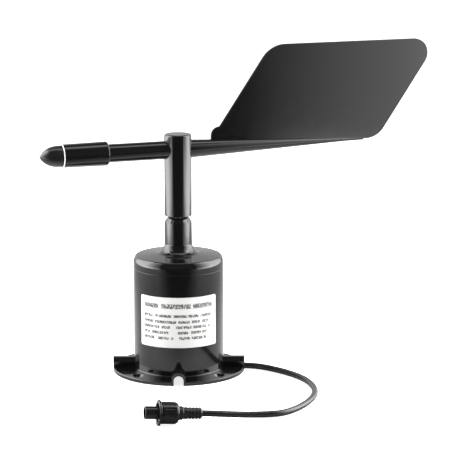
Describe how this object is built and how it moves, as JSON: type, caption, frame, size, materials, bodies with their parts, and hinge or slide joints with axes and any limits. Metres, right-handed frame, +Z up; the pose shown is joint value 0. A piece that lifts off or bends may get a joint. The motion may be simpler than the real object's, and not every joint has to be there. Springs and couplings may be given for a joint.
{
  "type": "wind vane",
  "caption": "Wind direction sensor: flanged round base with a dished cap and neck, a turning hub with nose weight and flat tail fin, and a plugged signal cable.",
  "frame": {"origin": "centre of the mounting bolt circle, on the underside of the flange", "axes": "+Z up along the spindle, +X towards the tunnel that the cable leaves through, -Y towards the label"},
  "size_m": [0.3238, 0.2511, 0.2696],
  "materials": {
    "black_plastic": "glossy black weather-resistant moulded plastic",
    "satin_plastic": "satin black moulded plastic",
    "black_rubber": "soft black rubber",
    "cable_jacket": "satin black cable jacket",
    "label_film": "white printed film",
    "bearing_steel": "ground bearing steel",
    "shaft_steel": "turned stainless steel",
    "brass": "turned brass",
    "cage_nylon": "natural nylon",
    "carrier_white": "white moulded plastic",
    "magnet_nickel": "nickel-plated magnet",
    "board_green": "green solder mask on glass-fibre board",
    "chip_black": "epoxy chip package",
    "capacitor_sleeve": "dark sleeved capacitor can",
    "header_green": "green terminal block",
    "lead_red": "red wire insulation",
    "lead_black": "black wire insulation",
    "lead_yellow": "yellow wire insulation",
    "lead_green": "green wire insulation",
    "gold_plate": "gold-plated contact"
  },
  "bodies": {
    "base": {"body_shell": "black_plastic", "top_cap": "black_plastic", "bottom_cover": "satin_plastic", "cover_gasket": "black_rubber", "cap_seal": "black_rubber", "cover_screws": "shaft_steel", "label": "label_film", "upper_bearing_outer_ring": "bearing_steel", "lower_bearing_outer_ring": "bearing_steel", "outer_spacer": "shaft_steel", "bearing_circlip": "shaft_steel", "sensor_board": "board_green", "board_posts": "brass", "board_screws": "shaft_steel", "hall_sensors": "chip_black", "board_chips": "chip_black", "board_capacitors": "capacitor_sleeve", "lead_header": "header_green", "lead_red": "lead_red", "lead_black": "lead_black", "lead_yellow": "lead_yellow", "lead_green": "lead_green", "cable": "cable_jacket", "cable_grommet": "black_rubber", "plug_body": "satin_plastic", "plug_pins": "gold_plate", "plug_seal": "black_rubber", "plug_boot": "black_rubber"},
    "vane": {"vane_hub": "black_plastic", "hub_insert": "brass", "hub_grub_screw": "shaft_steel", "nose_arm": "black_plastic", "nose_sleeve": "black_plastic", "counterweight": "brass", "nose_cone": "black_plastic", "tie_rod": "shaft_steel", "tail_boom": "black_plastic", "tail_fin": "black_plastic", "spindle": "shaft_steel", "spindle_clip": "shaft_steel", "upper_bearing_inner_ring": "bearing_steel", "lower_bearing_inner_ring": "bearing_steel", "inner_spacer": "shaft_steel", "magnet_carrier": "carrier_white", "magnet": "magnet_nickel"},
    "upper_cage": {"upper_bearing_balls": "bearing_steel", "upper_bearing_cage": "cage_nylon"},
    "lower_cage": {"lower_bearing_balls": "bearing_steel", "lower_bearing_cage": "cage_nylon"},
    "coupling_nut": {"coupling_nut": "satin_plastic"}
  },
  "joints": [
    {"name": "vane_spin", "type": "hinge", "parent": "base", "child": "vane", "pos_m": [0, 0, 0.13], "axis": [0, 0, 1], "continuous": true},
    {"name": "upper_cage_spin", "type": "hinge", "parent": "base", "child": "upper_cage", "pos_m": [0, 0, 0.12], "axis": [0, 0, 1], "continuous": true},
    {"name": "lower_cage_spin", "type": "hinge", "parent": "base", "child": "lower_cage", "pos_m": [0, 0, 0.09], "axis": [0, 0, 1], "continuous": true},
    {"name": "coupling_nut_spin", "type": "hinge", "parent": "base", "child": "coupling_nut", "pos_m": [-0.0145, -0.1655, 0.01022], "axis": [-0.9751, -0.2073, 0.0785], "continuous": true}
  ],
  "couplings": [
    {"joint": "upper_cage_spin", "follows": "vane_spin", "ratio": 0.3571},
    {"joint": "lower_cage_spin", "follows": "vane_spin", "ratio": 0.3571}
  ]
}
